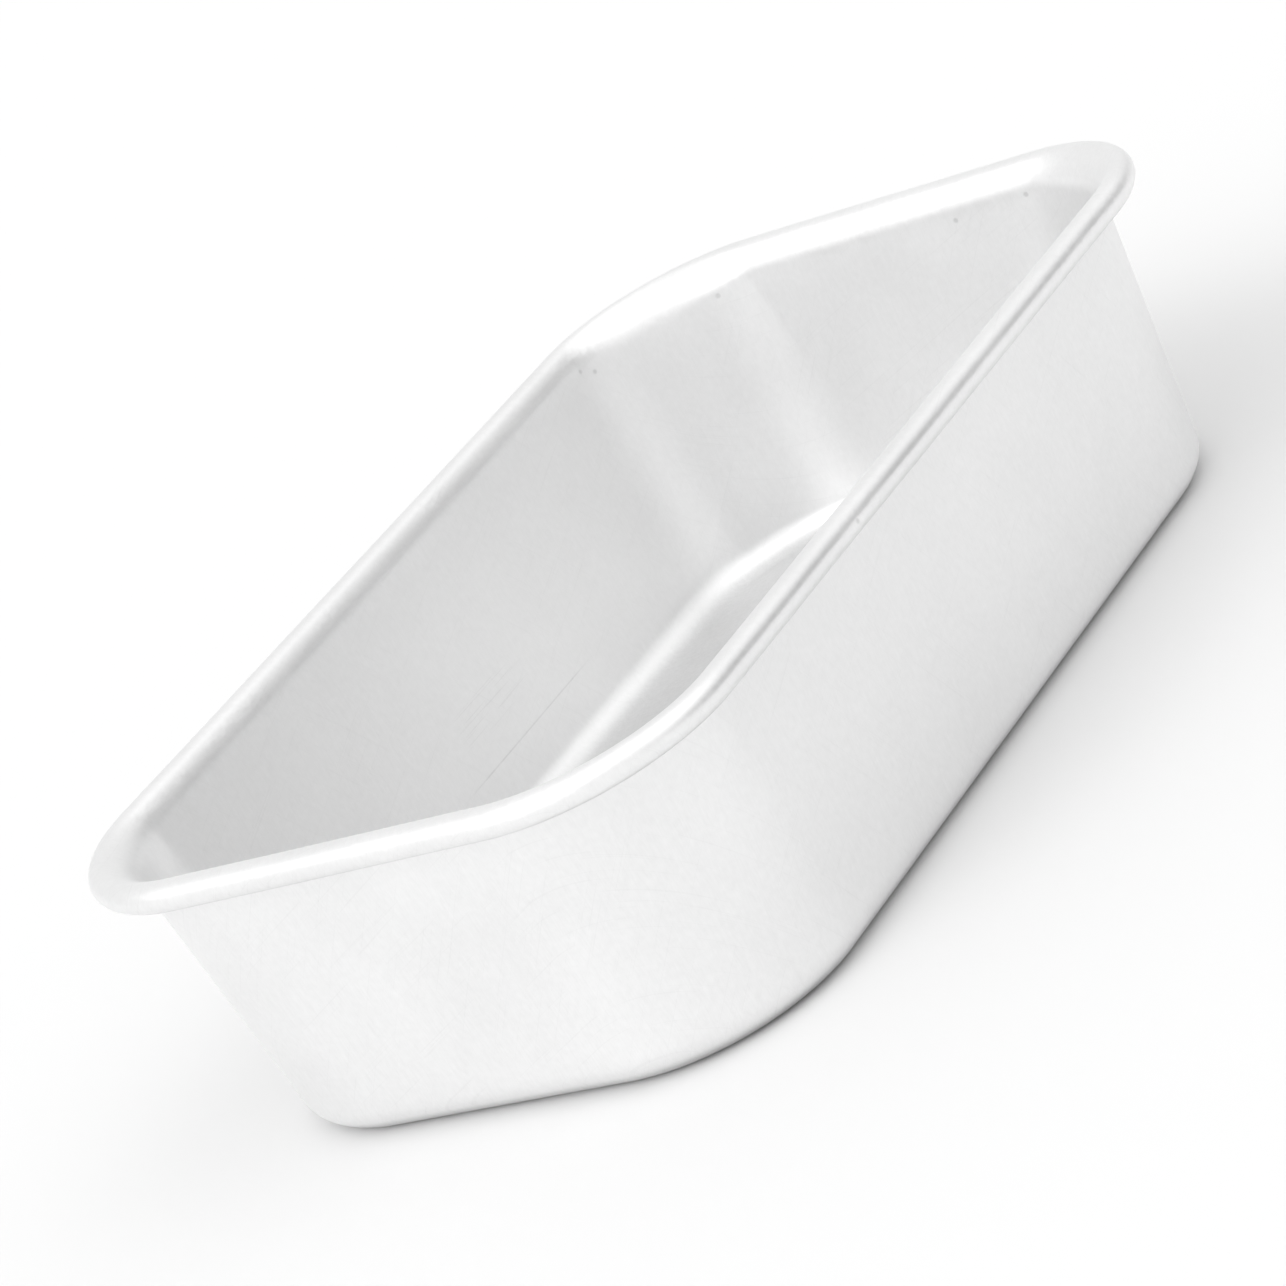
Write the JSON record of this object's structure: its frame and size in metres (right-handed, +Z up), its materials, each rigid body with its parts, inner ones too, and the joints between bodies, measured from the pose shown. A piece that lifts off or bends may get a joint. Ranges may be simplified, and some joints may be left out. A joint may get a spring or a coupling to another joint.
{
  "type": "mud pan",
  "caption": "Deep rectangular drawn-aluminium pan with drafted walls, rounded corners and a rolled, wire-stiffened rim, for holding and scooping wet joint compound.",
  "frame": {"origin": "middle of the pan's flat underside", "axes": "+X along the length, +Y along the width, +Z up out of the mouth"},
  "size_m": [0.244, 0.145, 0.0637],
  "materials": {
    "satin_aluminium": "satin, fine drawn grain with light handling scuffs",
    "drawn_steel": "plain drawn wire"
  },
  "bodies": {
    "root": {"pan_shell": "satin_aluminium", "rim_wire": "drawn_steel"}
  },
  "joints": []
}
